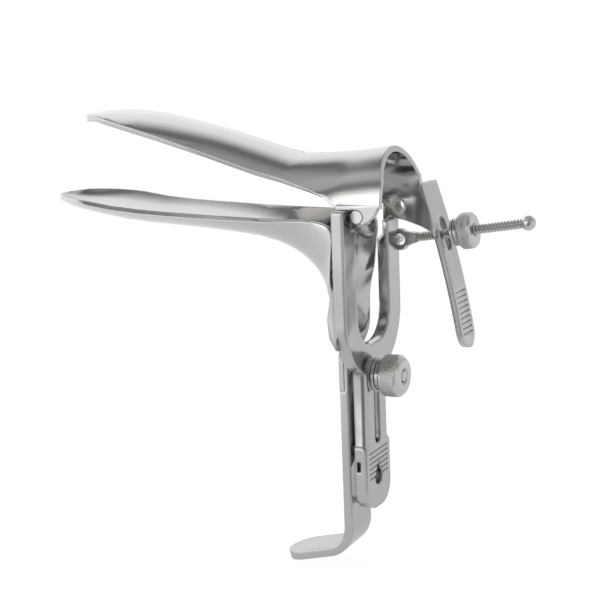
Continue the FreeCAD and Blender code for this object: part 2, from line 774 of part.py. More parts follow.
def yoke_frame():
    """The fork, its skirts, the slotted shank, the thumb plate and the hinge lugs."""
    body = new_body("yoke_frame")
    out = arm_out
    inner = d.opening_half
    floor = rim - d.opening_drop
    corner = d.opening_round
    near_top = hinge_z + 1.8
    far_top = hinge_z
    step_top = hinge_z - 4.2
    shoulder = rim - 30
    neck_z = rim - 46
    fork = new_sketch(body, "YZ_Plane", "fork", yoke_front)
    draw_loop(
        fork,
        [
            (-out, near_top),
            (-out, shoulder),
            (-d.shank_half, neck_z, d.fork_sweep),
            (d.shank_half, neck_z),
            (out, shoulder, d.fork_sweep),
            (out, far_top),
            (far_lug_in, far_top),
            (far_lug_in, step_top),
            (inner, step_top),
            (inner, floor + corner),
            (inner - corner, floor, -corner),
            (corner - inner, floor),
            (-inner, floor + corner, -corner),
            (-inner, near_top),
        ],
    )
    add_pad(body, fork, d.arm_depth)
    skirt_in = d.lower_half + d.skirt_gap
    skirt_out = out - 0.4
    for side, name in ((-1, "near"), (1, "far")):
        start = skirt_in if side < 0 else -skirt_out
        skirt = new_sketch(body, "XZ_Plane", name + "_skirt", start)
        draw_loop(
            skirt,
            [
                (yoke_front + 0.5, rim - 17.0),
                (yoke_front, rim - 17.0),
                (yoke_front - d.skirt_stand * 0.6, rim - 21.5),
                (yoke_front - d.skirt_stand, rim - 27.5),
                (yoke_front - d.skirt_stand * 0.8, rim - 33.0),
                (yoke_front, rim - 36.5),
                (yoke_front + 0.5, rim - 36.5),
            ],
        )
        add_pad(body, skirt, skirt_out - skirt_in)
    foot_z = slot_bottom - d.thumb_length
    shank = new_sketch(body, "YZ_Plane", "shank", yoke_rear - d.shank_depth)
    draw_loop(
        shank,
        [
            (-d.shank_half, neck_z + 0.5),
            (-d.shank_half, slot_bottom),
            (d.shank_half, slot_bottom),
            (d.shank_half, neck_z + 0.5),
        ],
    )
    add_pad(body, shank, d.shank_depth)
    thumb = new_sketch(body, "YZ_Plane", "thumb", yoke_rear - d.shank_depth)
    thumb_corner = d.thumb_half * 0.75
    draw_loop(
        thumb,
        [
            (-d.thumb_half, slot_bottom + 0.5),
            (-d.thumb_half, foot_z + thumb_corner),
            (thumb_corner - d.thumb_half, foot_z, thumb_corner),
            (d.thumb_half - thumb_corner, foot_z),
            (d.thumb_half, foot_z + thumb_corner, thumb_corner),
            (d.thumb_half, slot_bottom + 0.5),
        ],
    )
    add_pad(body, thumb, d.shank_depth)
    channel_half = d.shank_half - d.shank_lip
    shank_front = yoke_rear - d.shank_depth
    guide_front = bar_rear + d.slide_gap
    wall_top = slot_bottom - d.wall_drop
    wall_foot = foot_z + thumb_corner - d.wall_drop
    wall_thick = 0.8 * d.shank_lip
    for name, offset in (("near_wall", channel_half), ("far_wall", -channel_half - wall_thick)):
        wall = new_sketch(body, "XZ_Plane", name, offset)
        draw_loop(
            wall,
            [
                (shank_front + 0.5, wall_top),
                (shank_front, wall_top),
                (guide_front, wall_top - 2.2 * d.wall_drop),
                (guide_front, wall_foot),
                (shank_front + 0.5, wall_foot),
            ],
        )
        add_pad(body, wall, wall_thick)
    lip = new_sketch(body, "XZ_Plane", "thumb_lip")
    draw_loop(
        lip,
        [
            (shank_front + 0.5, wall_foot - 0.6),
            (guide_front + 0.5, wall_foot - 0.6),
            (guide_front + 0.5, wall_foot - 2.2),
            (shank_front + 0.5, wall_foot - 2.2),
        ],
    )
    add_pad(body, lip, 1.5 * d.thumb_half, both_ways=True)

    def shank_edge(edge):
        spot = middle(edge)
        outside = abs(spot.y) > d.shank_half.number - 0.01
        behind = abs(spot.x - yoke_rear.number) < 0.01
        return outside and behind and slot_bottom.number < spot.z < neck_z.number + 0.6

    add_fillet(body, "shank_rounding", shank_edge, d.shank_round)
    channel = new_sketch(body, "YZ_Plane", "channel", yoke_rear - d.shank_web)
    draw_loop(
        channel,
        [
            (-channel_half, neck_z - 1),
            (-channel_half, foot_z + thumb_corner),
            (channel_half, foot_z + thumb_corner),
            (channel_half, neck_z - 1),
        ],
    )
    add_pocket(body, channel)
    window = new_sketch(body, "XZ_Plane", "wall_windows")
    window_top = wall_top - d.wall_drop
    window_foot = foot_z + thumb_corner + d.guide_height
    draw_loop(
        window,
        [
            (shank_front + 0.6, window_top),
            (shank_front + 0.6, window_foot),
            (yoke_rear - d.shank_web, window_foot),
            (yoke_rear - d.shank_web, window_top),
        ],
    )
    add_pocket(body, window, both_ways=True)
    slot = new_sketch(body, "YZ_Plane", "slot", yoke_rear + 1)
    draw_loop(
        slot,
        [
            (-slot_half, d.stud_height, slot_half),
            (-slot_half, slot_bottom + slot_half),
            (slot_half, slot_bottom + slot_half, slot_half),
            (slot_half, d.stud_height),
        ],
    )
    add_pocket(body, slot)
    drop_z = slot_bottom - 10.2
    drop_round = d.thumb_half * 0.34
    teardrop = new_sketch(body, "YZ_Plane", "teardrop", yoke_rear + 1)
    draw_loop(
        teardrop,
        [
            (0, drop_z + drop_round * 1.6),
            (-drop_round, drop_z),
            (drop_round, drop_z, drop_round),
        ],
    )
    add_pocket(body, teardrop)
    grooves = new_sketch(body, "XZ_Plane", "plate_grooves")
    half_open = d.groove_pitch * 0.3
    for step in range(6):
        groove_z = slot_bottom - d.wall_drop - step * d.groove_pitch
        draw_loop(
            grooves,
            [
                (yoke_rear + 0.3, groove_z + half_open),
                (yoke_rear - d.groove_depth, groove_z),
                (yoke_rear + 0.3, groove_z - half_open),
            ],
        )
    add_pocket(body, grooves, 2 * (d.thumb_half - d.shank_round), both_ways=True)
    plate = new_sketch(body, "XZ_Plane", "far_plate", 1 - inner)
    plate_front = yoke_rear - d.plate_left
    draw_loop(
        plate,
        [
            (yoke_front - 1, step_top + 1),
            (yoke_front - 1, rim - d.plate_drop - d.plate_left),
            (yoke_front, rim - d.plate_drop - d.plate_left),
            (plate_front, rim - d.plate_drop),
            (plate_front, step_top + 1),
        ],
    )
    add_pocket(body, plate, far_lug_in - inner + 1)
    for name, offset, thick in (
        ("near_lug", inner, near_lug_out - inner),
        ("far_lug", -out, d.far_lug),
    ):
        lug = new_sketch(body, "XZ_Plane", name, offset)
        draw_loop(
            lug,
            [
                (yoke_rear - 1.1 * d.shank_round, hinge_z + d.lug_round * 0.6),
                (yoke_rear - 1.1 * d.shank_round, hinge_z - d.lug_round * 1.3),
                (yoke_rear, hinge_z - d.lug_round * 1.3),
                (hinge_x, hinge_z - d.lug_round),
                (hinge_x, hinge_z + d.lug_round, d.lug_round),
            ],
        )
        add_pad(body, lug, thick)
    pins = new_sketch(body, "XZ_Plane", "pin_holes")
    draw_circle(pins, hinge_x, hinge_z, pin_round)
    add_pocket(body, pins, both_ways=True)
    pivot = new_sketch(body, "XZ_Plane", "pivot_hole", -out)
    draw_circle(pivot, pivot_x, pivot_z, d.pivot_dia / 2)
    add_pocket(body, pivot, 2 * d.pivot_dia / 2, reverse=True)
    relief = new_sketch(body, "YZ_Plane", "ear_relief", yoke_rear + 1)
    draw_loop(
        relief,
        [
            (-far_lug_in, near_top + 1),
            (-far_lug_in, hinge_z + 0.1),
            (-near_lug_out, hinge_z + 0.1),
            (-near_lug_out, near_top + 1),
        ],
    )
    add_pocket(body, relief)
    return body


def guide_block():
    """The block inside the thumb plate that rides on the bar."""
    block = doc.addObject("Part::Box", "guide_block")
    front = bar_rear + d.slide_gap
    bind(block, "Length", yoke_rear - d.shank_web - front)
    bind(block, "Width", 2 * (d.shank_half - d.shank_lip))
    bind(block, "Height", d.guide_height)
    channel_end = slot_bottom - d.thumb_length + d.thumb_half * 0.75
    place(block, front, d.shank_lip - d.shank_half, channel_end)
    return keep(block, "guide_block")


def pin_along_y(label, radius, y_from, length, x, z):
    pin = doc.addObject("Part::Cylinder", label)
    bind(pin, "Radius", radius)
    bind(pin, "Height", length)
    place(pin, x, y_from + length, z, (1, 0, 0), 90)
    return pin


def pins():
    """The two hinge pins and the headed pin that carries the rod's eye."""
    hinge = (hinge_x, hinge_z)
    near_length = d.upper_half - d.opening_half
    keep(pin_along_y("near_hinge_pin", pin_round, -d.upper_half, near_length, *hinge), "near_hinge_pin")
    far_length = arm_out - ear_inside
    keep(pin_along_y("far_hinge_pin", pin_round, ear_inside, far_length, *hinge), "far_hinge_pin")
    pivot = (pivot_x, pivot_z)
    sunk = d.pivot_dia
    reach = sunk + d.eye_gap + d.eye_thick + d.pivot_gap
    start = arm_out - sunk
    shaft = pin_along_y("pivot_shaft", d.pivot_dia / 2, start, reach, *pivot)
    head = pin_along_y("pivot_head_disc", d.pivot_head / 2, start + reach, d.pivot_dia / 3, *pivot)
    whole = doc.addObject("Part::Fuse", "rod_pivot_pin")
    whole.Base = shaft
    whole.Tool = head
    keep(whole, "rod_pivot_pin")


def thumb_lever():
    """The bowed strip beside the far ear, with its slot, grooves and rounded end."""
    body = new_body("thumb_lever")
    top_x, top_z = lever_top_place()
    tip_x, tip_z = lever_tip_place()
    side = new_sketch(body, "XZ_Plane", "lever_side", -d.upper_half - d.lever_wide)
    draw_loop(
        side,
        [
            (top_x, top_z, d.lever_bow),
            (top_x - d.lever_thick, top_z),
            (tip_x - d.lever_thick, tip_z, -(d.lever_bow - d.lever_thick)),
            (tip_x, tip_z),
        ],
    )
    add_pad(body, side, d.lever_wide)
    slot = new_sketch(body, "YZ_Plane", "lever_slot", top_x - 2 * d.lever_thick)
    slot_mid = pivot_z + 2.1
    half_high = d.rod_slot_high / 2
    half_wide = d.rod_slot_wide / 2
    draw_loop(
        slot,
        [
            (rod_y - half_wide, slot_mid - half_high + half_wide),
            (rod_y + half_wide, slot_mid - half_high + half_wide, half_wide),
            (rod_y + half_wide, slot_mid + half_high - half_wide),
            (rod_y - half_wide, slot_mid + half_high - half_wide, half_wide),
        ],
    )
    add_pocket(body, slot, reverse=True)

    def tip_corner(edge):
        spot = middle(edge)
        return abs(spot.z - tip_z.number) < 0.1 and abs(edge.tangentAt(edge.FirstParameter).x) > 0.9

    add_fillet(body, "tip_round", tip_corner, d.lever_wide * 0.48)
    grooves = new_sketch(body, "XZ_Plane", "lever_grooves", -d.upper_half - d.lever_wide * 0.86)
    face_length = number(d.lever_drop + d.lever_top)
    deep = d.groove_depth.number
    half_open = d.groove_pitch.number * 0.3
    for step in range(9):
        share = 0.665 + step * d.groove_pitch.number / face_length
        (x, z), (near_x, near_z) = lever_rear_points([share, share + 0.01])
        run = math.hypot(near_x - x, near_z - z)
        down_x = (near_x - x) / run
        down_z = (near_z - z) / run
        draw_loop(
            grooves,
            [
                (x - down_x * half_open - down_z * 0.3, z - down_z * half_open + down_x * 0.3),
                (x + down_z * deep, z - down_x * deep),
                (x + down_x * half_open - down_z * 0.3, z + down_z * half_open + down_x * 0.3),
            ],
        )
    add_pocket(body, grooves, d.lever_wide * 0.72, reverse=True)
    return body


def spreading_rod():
    """The rod with its flat eye, and the ball on its end."""
    eye_place = (eye_x, pivot_z)
    thick = d.eye_thick
    eye = pin_along_y("eye_disc", d.eye_dia / 2, rod_y - thick / 2, thick, *eye_place)
    shaft = doc.addObject("Part::Cylinder", "rod_shaft")
    bind(shaft, "Radius", d.rod_dia / 2)
    start = d.eye_bore / 2 + 0.6
    bind(shaft, "Height", d.rod_length + d.ball_dia / 4 - start)
    along_rod(shaft, start)
    joined_rod = doc.addObject("Part::Fuse", "rod_and_eye")
    joined_rod.Base = eye
    joined_rod.Tool = shaft
    bore = pin_along_y("eye_bore_cut", d.eye_bore / 2, rod_y - thick, 2 * thick, *eye_place)
    rod = doc.addObject("Part::Cut", "spread_rod")
    rod.Base = joined_rod
    rod.Tool = bore
    keep(rod, "spread_rod")
    sphere = doc.addObject("Part::Sphere", "ball_sphere")
    bind(sphere, "Radius", d.ball_dia / 2)
    along_rod(sphere, d.rod_length)
    socket = doc.addObject("Part::Cylinder", "ball_socket")
    bind(socket, "Radius", d.rod_dia / 2)
    bind(socket, "Height", d.ball_dia + d.ball_dia / 4)
    along_rod(socket, d.rod_length - d.ball_dia)
    ball = doc.addObject("Part::Cut", "rod_end_ball")
    ball.Base = sphere
    ball.Tool = socket
    keep(ball, "rod_end_ball")


def nut_pieces():
    """The washer and the nut on the rod."""
    bore = d.rod_dia / 2 + d.thread_gap
    washer = turned(
        "nut_washer",
        [
            (bore, 0),
            (d.washer_dia / 2, 0),
            (d.washer_dia / 2, d.washer_thick),
            (bore, d.washer_thick),
        ],
    )
    along_rod(washer, d.washer_seat)
    length = d.nut_neck + d.nut_length
    bevel = d.edge_break
    nut = turned(
        "spread_nut",
        [
            (bore, 0),
            (d.nut_neck_dia / 2, 0),
            (d.nut_neck_dia / 2, d.nut_neck),
            (d.nut_dia / 2 - bevel, d.nut_neck),
            (d.nut_dia / 2, d.nut_neck + bevel),
            (d.nut_dia / 2, length - 2 * bevel),
            (d.nut_dia / 2 - 2 * bevel, length),
            (bore, length),
        ],
    )
    along_rod(nut, d.washer_seat + d.washer_thick + d.seat_gap)


lower_blade()
handle_bar()
clamp_pieces()
yoke_frame()
guide_block()
pins()
upper_blade()
thumb_lever()
spreading_rod()
nut_pieces()
doc.recompute()

for item in doc.Objects:
    if "Invalid" in item.State or "Error" in item.State:
        raise RuntimeError("%s is %s" % (item.Name, item.State))
for piece in subparts:
    if piece.Shape.isNull() or not piece.Shape.isValid():
        raise RuntimeError("%s has no valid shape" % piece.Label)
    if len(piece.Shape.Solids) != 1:
        raise RuntimeError("%s is %d solids" % (piece.Label, len(piece.Shape.Solids)))

os.makedirs("parts", exist_ok=True)
for piece in subparts:
    piece.Shape.exportStep("parts/%s.step" % piece.Label)
    print(piece.Label, round(piece.Shape.Volume, 2))
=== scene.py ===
"""Looks of a bivalve speculum: polished blades, satin yoke and handle, threaded and knurled screws."""

import json
import math

import bmesh
import bpy
from bpy.props import FloatProperty, FloatVectorProperty, PointerProperty
from mathutils import Matrix, Vector


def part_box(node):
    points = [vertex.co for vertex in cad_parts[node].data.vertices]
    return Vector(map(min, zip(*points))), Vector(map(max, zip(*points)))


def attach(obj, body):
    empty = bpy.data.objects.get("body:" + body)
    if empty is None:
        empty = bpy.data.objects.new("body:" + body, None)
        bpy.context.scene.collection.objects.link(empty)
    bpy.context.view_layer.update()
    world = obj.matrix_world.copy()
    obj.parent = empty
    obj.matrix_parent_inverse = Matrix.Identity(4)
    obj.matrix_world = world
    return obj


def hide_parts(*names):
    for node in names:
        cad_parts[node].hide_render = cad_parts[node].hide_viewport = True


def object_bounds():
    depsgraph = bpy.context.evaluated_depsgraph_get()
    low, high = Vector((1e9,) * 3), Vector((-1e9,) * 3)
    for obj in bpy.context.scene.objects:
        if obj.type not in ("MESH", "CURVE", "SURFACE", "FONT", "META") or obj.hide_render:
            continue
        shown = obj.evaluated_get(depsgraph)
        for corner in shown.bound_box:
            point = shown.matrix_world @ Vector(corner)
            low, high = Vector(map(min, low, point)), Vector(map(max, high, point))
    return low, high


bl_info = {
    "name": "Bivalve Speculum",
    "version": (1, 0, 0),
    "blender": (4, 5, 0),
    "location": "3D View > Sidebar > Speculum",
    "description": "Dresses the speculum's fixed frame in polished and turned steel",
    "category": "Object",
}

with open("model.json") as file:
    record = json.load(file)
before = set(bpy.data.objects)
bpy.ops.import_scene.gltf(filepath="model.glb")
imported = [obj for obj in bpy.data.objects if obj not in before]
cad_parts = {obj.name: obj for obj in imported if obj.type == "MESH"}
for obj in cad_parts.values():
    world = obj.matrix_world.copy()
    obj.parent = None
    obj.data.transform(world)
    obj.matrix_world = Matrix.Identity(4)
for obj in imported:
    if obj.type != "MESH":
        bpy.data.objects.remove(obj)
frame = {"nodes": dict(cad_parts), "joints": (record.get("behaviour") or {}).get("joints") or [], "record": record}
cad_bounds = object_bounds()
MM = 0.001


def node_middle(node):
    low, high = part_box(node)
    return (low + high) / 2


def joint(name):
    for row in frame["joints"]:
        if row["name"] == name:
            return row
    raise ValueError(name)


STUD_AXIS = Vector((1.0, 0.0, 0.0))
STUD_MIDDLE = node_middle("clamp_stud")
PIN_AXIS = Vector((0.0, 1.0, 0.0))
ROD_AXIS = Vector(joint("nut_spin")["axis"]).normalized()
EYE_MIDDLE = Vector(joint("nut_spin")["pos_m"])
# The widest place of the rod is its eye, so its own radius is taken from the washer's.
WASHER_ACROSS = 8.7 * MM
ROD_ACROSS = 3.1 * MM
RUNNING_GAP = 0.06 * MM
WASHER_EDGE = 0.12 * MM

COPY_WELD = 0.002 * MM
TURNED_WELD = 0.001 * MM
SEAM_WELD = 0.00001 * MM
FLAT_DEGREES = 0.4
BEVEL_FROM_DEGREES = 28.0
BEVEL_SEGMENTS = 2
COPY_SHARP_DEGREES = 35.0
TURNED_SHARP_DEGREES = 32.0

UPPER_TIP_RUN = 16.0 * MM
UPPER_TIP_SHIFT = 3.0 * MM
UPPER_TIP_DROP = 1.1 * MM
UPPER_DROP_FROM = 0.6
UPPER_TIP_FLOOR = 97.95 * MM
LOWER_TIP_RUN = 9.0 * MM
LOWER_TIP_SHIFT = 0.9 * MM
LOWER_TIP_TOP = 75.0 * MM
LOWER_TIP_SAG = 0.35 * MM
TIP_SQUEEZE = 0.15

STEPS_PER_DIAMOND = 6
STEPS_PER_TURN = 8
THREAD_AROUND = 48
RUN_OUT = 0.2
END_SHOULDER = 0.96
END_FLAT = 0.7
TURNED_AROUND = 64
EYE_AROUND = 96
EYE_SAG = 0.45 * MM

FINISH_SAMPLES = 8
GRAIN_ACROSS = 2600.0
GRAIN_ALONG = 120.0
GRAIN_HEIGHT = 0.03 * MM
WAVE_HEIGHT = 1.2 * MM
SMUDGE_ROUGHNESS = 0.08
SMUDGE_SHADE = 0.94
# Painted shade in hollows: the share of colour left where a hollow is fully shut in, the reach of the occlusion
# that finds it, and how steeply the colour darkens.
HOLLOW_PAINTED_SHADE = 0.12
PAINTED_SHADE_REACH = 4.5 * MM
PAINTED_SHADE_POWER = 2.0

WHITE = (1.0, 1.0, 1.0, 1.0)
WARM_WHITE = (1.0, 0.995, 0.985, 1.0)
FLOOR_PAINT = (0.9, 0.9, 0.9, 1.0)
FLOOR_HALF = 3.0
FLOOR_GLOW = 1.1
FLOOR_GLOW_SHARE = 0.85
SHEEN_SHARE = 0.8
SHEEN_REACH = 0.7
SHEEN_NEAR = 0.74
SHEEN_FAR_GAIN = 0.32
SHEEN_RIGHT_LOSS = 0.24
ROOM_POWER = 1.1
ROOM_RIGHT_LOSS = 0.35
CAMERA_SIDE = ((0.0, 0.0), (0.42, 0.0), (0.58, 1.0), (1.0, 1.0))
DIM_SECTOR = ((0.0, 1.0), (0.80, 1.0), (0.92, 0.22), (1.0, 0.16))
FRONT_PANELS = (
    (0.0, 0.5),
    (0.5, 1.0),
    (0.604, 1.0),
    (0.671, 0.93),
    (0.735, 0.72),
    (0.757, 0.60),
    (0.780, 0.28),
    (0.821, 0.17),
    (0.847, 0.27),
    (0.872, 0.42),
    (0.933, 0.46),
    (1.0, 0.42),
)
BACK_PANELS = (
    (0.0, 0.5),
    (0.5, 0.85),
    (0.872, 0.82),
    (0.905, 0.52),
    (0.933, 0.20),
    (0.957, 0.18),
    (0.973, 0.28),
    (0.985, 0.36),
    (1.0, 0.42),
)
# Name, place from the camera's target, side length and power of each lamp.
LAMPS = (
    ("key softbox", (-0.29, -0.67, 0.20), 0.35, 0.15),
    ("back softbox", (-0.31, 0.62, 0.42), 0.45, 0.12),
)

materials = {}
sleeves = {}


def along(node, axis, start):
    """Lowest and highest distance of a node along an axis, from a start point."""
    reach = [(vertex.co - start).dot(axis) for vertex in frame["nodes"][node].data.vertices]
    return min(reach), max(reach)


def widest(node, axis, start):
    """Largest distance of a node from an axis."""
    best = 0.0
    for vertex in frame["nodes"][node].data.vertices:
        out = vertex.co - start
        best = max(best, (out - axis * out.dot(axis)).length)
    return best


class SpeculumSteel(bpy.types.PropertyGroup):
    polished: FloatVectorProperty(
        name="Polished steel",
        description="Colour of the blades and the lever",
        subtype="COLOR",
        default=(0.63, 0.62, 0.61),
    )
    satin: FloatVectorProperty(
        name="Satin steel",
        description="Colour of the yoke and the handle bar",
        subtype="COLOR",
        default=(0.58, 0.572, 0.562),
    )
    turned: FloatVectorProperty(
        name="Turned steel",
        description="Colour of the grips, washers, pins and screws",
        subtype="COLOR",
        default=(0.72, 0.708, 0.692),
    )
    edge: FloatProperty(
        name="Edge round",
        description="Radius of the rounded edges, which each sheet or bar piece takes a share of",
        unit="LENGTH",
        default=0.35 * MM,
    )


class SpeculumScrews(bpy.types.PropertyGroup):
    pitch: FloatProperty(
        name="Thread pitch",
        description="Distance between two turns of the threads",
        unit="LENGTH",
        default=1.0 * MM,
    )
    thread_depth: FloatProperty(
        name="Thread depth",
        description="Depth of the threads",
        unit="LENGTH",
        default=0.34 * MM,
    )
    knurl: FloatProperty(
        name="Knurl spacing",
        description="Distance between the diamonds of the knurl",
        unit="LENGTH",
        default=0.95 * MM,
    )
    knurl_depth: FloatProperty(
        name="Knurl depth",
        description="Depth of the knurl's grooves",
        unit="LENGTH",
        default=0.22 * MM,
    )


class SpeculumStudio(bpy.types.PropertyGroup):
    azimuth: FloatProperty(
        name="Azimuth",
        description="Camera's turn from the near side towards the operator, in degrees",
        default=26.78,
    )
    elevation: FloatProperty(
        name="Elevation",
        description="Camera's height above the horizon, in degrees",
        default=9.87,
    )
    roll: FloatProperty(name="Roll", description="Camera's roll, in degrees", default=-2.29)
    distance: FloatProperty(
        name="Distance",
        description="Camera's distance from its target",
        unit="LENGTH",
        default=0.4,
    )
    target: FloatVectorProperty(
        name="Target",
        description="Point that the camera looks at",
        subtype="TRANSLATION",
        default=(-0.01581, 0.0, 0.04118),
    )
    lens: FloatProperty(
        name="Lens",
        description="Focal length for a 36 mm sensor, in millimetres",
        default=77.2,
    )
    floor_drop: FloatProperty(
        name="Floor drop",
        description="Floor below the handle's foot",
        unit="LENGTH",
        default=0.5 * MM,
    )


class Value:
    """A socket of a node tree that ordinary arithmetic adds Math nodes to."""

    def __init__(self, tree, socket):
        self.tree = tree
        self.socket = socket

    def other(self, output):
        """Another output of the same node."""
        return Value(self.tree, self.socket.node.outputs[output])

    def __add__(self, other):
        return self.tree.maths("ADD", self, other)

    def __radd__(self, other):
        return self.tree.maths("ADD", other, self)

    def __sub__(self, other):
        return self.tree.maths("SUBTRACT", self, other)

    def __rsub__(self, other):
        return self.tree.maths("SUBTRACT", other, self)

    def __mul__(self, other):
        return self.tree.maths("MULTIPLY", self, other)

    def __truediv__(self, other):
        return self.tree.maths("DIVIDE", self, other)

    def least(self, other):
        return self.tree.maths("MINIMUM", self, other)

    def tooth(self):
        """A triangle wave of period 1 from 0 at whole numbers to 1 between them."""
        offset = self.tree.maths("FRACT", self) * 2.0 - 1.0
        return 1.0 - self.tree.maths("ABSOLUTE", offset)


class Tree:
    """Adds nodes to a node tree."""

    def __init__(self, tree):
        self.tree = tree

    def feed(self, socket, item):
        if isinstance(item, Value):
            self.tree.links.new(item.socket, socket)
        else:
            socket.default_value = item

    def node(self, kind, output=0, settings=None, **inputs):
        """A node's output, with the node's settings made first and then its sockets by name."""
        node = self.tree.nodes.new(kind)
        for name, value in (settings or {}).items():
            setattr(node, name, value)
        for name, value in inputs.items():
            self.feed(node.inputs[name.replace("_", " ")], value)
        return Value(self, node.outputs[output])

    def maths(self, operation, *items):
        node = self.tree.nodes.new("ShaderNodeMath")
        node.operation = operation
        for socket, item in zip(node.inputs, items):
            self.feed(socket, item)
        return Value(self, node.outputs[0])

    def close(self, kind, label, item):
        """The tree's output node, fed through its labelled socket."""
        self.feed(self.tree.nodes.new(kind).inputs[label], item)


class GeometryTree(Tree):
    """A new geometry tree with inputs of its own."""

    def __init__(self, name, inputs):
        super().__init__(bpy.data.node_groups.new(name, "GeometryNodeTree"))
        face = self.tree.interface
        for label, kind in inputs:
            face.new_socket(label, in_out="INPUT", socket_type=kind)
        face.new_socket("Geometry", in_out="OUTPUT", socket_type="NodeSocketGeometry")
        self.start = self.tree.nodes.new("NodeGroupInput")

    def size(self, label):
        return Value(self, self.start.outputs[label])


def shader_tree(owner):
    """The emptied shader tree of a material or a world."""
    owner.use_nodes = True
    owner.node_tree.nodes.clear()
    return Tree(owner.node_tree)


def ramp(tree, share, stops):
    """A grey that follows a share through stops of place and shade."""
    grey = tree.node("ShaderNodeValToRGB", Fac=share)
    elements = grey.socket.node.color_ramp.elements
    while len(elements) < len(stops):
        elements.new(0.5)
    for element, (place, shade) in zip(elements, stops):
        element.position = place
        element.color = (shade, shade, shade, 1.0)
    return grey


def mixed_colour(tree, share, lower, upper):
    """A colour between two others, each a row of three channels or a linked colour."""
    # The node has sockets for each data type, and these are the ones for colours.
    mix = tree.node("ShaderNodeMix", output=2, settings={"data_type": "RGBA"})
    node = mix.socket.node
    tree.feed(node.inputs[0], share)
    for socket, item in ((node.inputs[6], lower), (node.inputs[7], upper)):
        tree.feed(socket, item if isinstance(item, Value) else (*item, 1.0))
    return mix


def mixed_shader(tree, share, lower, upper):
    """A shader between two others."""
    mix = tree.node("ShaderNodeMixShader", Fac=share)
    tree.feed(mix.socket.node.inputs[1], lower)
    tree.feed(mix.socket.node.inputs[2], upper)
    return mix


def direction_part(tree, vector, axis):
    """The part of a vector along an axis."""
    part = tree.node(
        "ShaderNodeVectorMath",
        output="Value",
        settings={"operation": "DOT_PRODUCT"},
        Vector=vector,
    )
    part.socket.node.inputs[1].default_value = axis
    return part


def steel(name, colour, roughness, grain, grain_axis, wave, round_off):
    """Steel with a fine grain along one axis, smudges, slight waves, soft edges, and shade painted into its colour
    in grooves and hollows.
    """
    material = bpy.data.materials.new(name)
    tree = shader_tree(material)
    place = tree.node("ShaderNodeTexCoord", output="Object")
    stretch = [GRAIN_ACROSS] * 3
    stretch[grain_axis] = GRAIN_ALONG
    lined = tree.node("ShaderNodeMapping", Vector=place, Scale=stretch)
    fine = tree.node("ShaderNodeTexNoise", output="Fac", Vector=lined, Scale=1.0, Detail=2.0)
    smudge = tree.node("ShaderNodeTexNoise", output="Fac", Vector=place, Scale=90.0, Detail=3.0)
    broad = tree.node("ShaderNodeTexNoise", output="Fac", Vector=place, Scale=60.0, Detail=1.0)
    rough = roughness + (smudge - 0.5) * SMUDGE_ROUGHNESS + (fine - 0.5) * grain
    # Painted shade: the colour is darkened towards a small share of itself where ambient occlusion finds the
    # piece's own walls close by, in grooves, slots and the keyhole.
    hollow_occlusion = tree.node(
        "ShaderNodeAmbientOcclusion",
        output="AO",
        settings={"samples": FINISH_SAMPLES, "only_local": True},
        Distance=PAINTED_SHADE_REACH,
    )
    lit = tree.maths("POWER", hollow_occlusion, PAINTED_SHADE_POWER)
    worn = mixed_colour(tree, smudge, [channel * SMUDGE_SHADE for channel in colour], colour)
    shade = mixed_colour(tree, lit, [channel * HOLLOW_PAINTED_SHADE for channel in colour], worn)
    soft = tree.node("ShaderNodeBevel", settings={"samples": FINISH_SAMPLES}, Radius=round_off)
    waves = tree.node(
        "ShaderNodeBump", Height=broad, Strength=wave, Distance=WAVE_HEIGHT, Normal=soft
    )
    bump = tree.node(
        "ShaderNodeBump", Height=fine, Strength=0.25, Distance=GRAIN_HEIGHT, Normal=waves
    )
    shader = tree.node(
        "ShaderNodeBsdfPrincipled",
        Base_Color=shade,
        Metallic=1.0,
        Roughness=rough,
        Normal=bump,
    )
    tree.close("ShaderNodeOutputMaterial", "Surface", shader)
    return material


def link(mesh, name, body, material, *nodes):
    """A finished piece from its mesh: it rides on its body and stands for its nodes."""
    piece = bpy.data.objects.new(name, mesh)
    bpy.context.scene.collection.objects.link(piece)
    piece.data.materials.clear()
    piece.data.materials.append(material)
    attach(piece, body)
    if nodes:
        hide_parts(*nodes)
    return piece


def body_of(node):
    for name, nodes in frame["record"]["behaviour"]["bodies"].items():
        if node in nodes:
            return name
    raise ValueError(node)


def rounded_copy(node, name, material, radius, shape=None):
    """A copy of a node with its triangles merged, reshaped if asked, and its hard edges rounded."""
    mesh = frame["nodes"][node].data.copy()
    work = bmesh.new()
    work.from_mesh(mesh)
    bmesh.ops.remove_doubles(work, verts=work.verts, dist=COPY_WELD)
    if shape:
        shape(work.verts)
    bmesh.ops.dissolve_limit(
        work, angle_limit=math.radians(FLAT_DEGREES), verts=work.verts, edges=work.edges
    )
    work.to_mesh(mesh)
    work.free()
    piece = link(mesh, name, body_of(node), material, node)
    if radius > 0:
        bevel = piece.modifiers.new("rounded edges", "BEVEL")
        bevel.width = radius
        bevel.segments = BEVEL_SEGMENTS
        bevel.limit_method = "ANGLE"
        bevel.angle_limit = math.radians(BEVEL_FROM_DEGREES)
    mesh.shade_smooth()
    mesh.set_sharp_from_angle(angle=math.radians(COPY_SHARP_DEGREES))


def draw_in_tip(verts, run, shift, thinned):
    """Draws a blade's rounded end in, and thins it there."""
    tip = min(vert.co.x for vert in verts)
    for vert in verts:
        share = 1.0 - (vert.co.x - tip) / run
        if share > 0.0:
            vert.co.x += shift * share**2
            vert.co.z = thinned(vert.co.z, share)


def squeezed(z, level):
    """A height drawn towards a level."""
    return level + (z - level) * TIP_SQUEEZE


